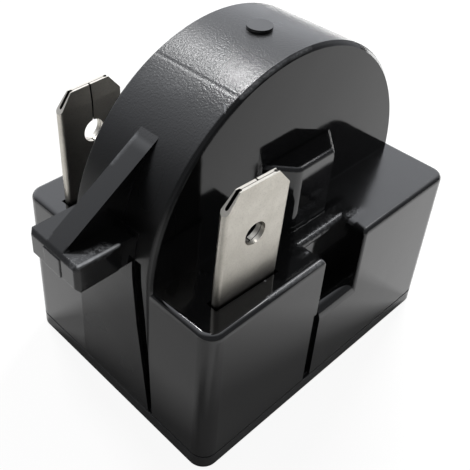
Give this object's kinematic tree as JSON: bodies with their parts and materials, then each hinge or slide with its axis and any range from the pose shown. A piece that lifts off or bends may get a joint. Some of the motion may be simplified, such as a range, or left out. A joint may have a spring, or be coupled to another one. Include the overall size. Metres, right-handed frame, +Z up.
{
  "type": "compressor start relay",
  "caption": "Plug-in start relay: rectangular moulded base, upright drum holding a thermistor pill, side ear, spade tabs above and pin sockets below",
  "frame": {"origin": "centre of the base underside, the face that lies on the compressor's terminal guard", "axes": "+X along the front, away from the ear; +Y from the notched front to the back; +Z up, away from the compressor pins"},
  "size_m": [0.0359, 0.0232, 0.0315],
  "materials": {
    "black_moulding": "polished mould on the flat faces, fine spark texture on the drum",
    "black_cover": "polished mould",
    "tinned_brass": "tin plated, satin",
    "spring_steel": "rolled",
    "rivet_brass": "plain",
    "ceramic": "silvered ceramic",
    "mica": "translucent sheet"
  },
  "bodies": {
    "root": {"housing": "black_moulding", "base_cover": "black_cover", "ptc_pill": "ceramic", "front_mica_sheet": "mica", "rear_mica_sheet": "mica", "front_contact_spring": "spring_steel", "rear_contact_spring": "spring_steel", "front_terminal": "tinned_brass", "rear_terminal": "tinned_brass", "front_pin_socket": "tinned_brass", "rear_pin_socket": "tinned_brass", "front_socket_clamp": "spring_steel", "rear_socket_clamp": "spring_steel", "front_left_rivet": "rivet_brass", "front_right_rivet": "rivet_brass", "rear_left_rivet": "rivet_brass", "rear_right_rivet": "rivet_brass"}
  },
  "joints": []
}
